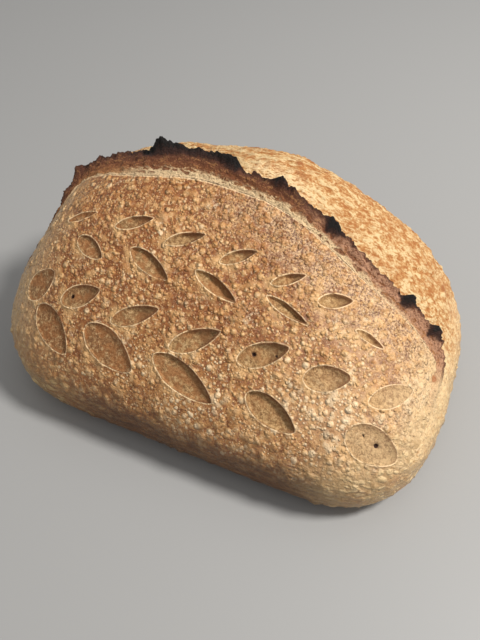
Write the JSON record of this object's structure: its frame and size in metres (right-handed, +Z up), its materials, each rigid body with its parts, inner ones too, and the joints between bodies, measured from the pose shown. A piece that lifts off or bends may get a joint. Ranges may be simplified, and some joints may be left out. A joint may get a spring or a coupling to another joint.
{
  "type": "sourdough loaf",
  "caption": "Whole oval sourdough loaf with a blistered crust, a torn charred ear along the top and shallow leaf-shaped scores on its front flap; it lies on its flat base.",
  "frame": {"origin": "on the flat base, under the middle of the loaf's box", "axes": "+X along the loaf towards its lower end, -Y towards the front flap with the leaf scores, +Z up"},
  "size_m": [0.2502, 0.1614, 0.1193],
  "materials": {
    "crust": "matte browned bread crust with fine blisters, pale where it tore open and charred along the ear"
  },
  "bodies": {
    "root": {"loaf": "crust"}
  },
  "joints": []
}
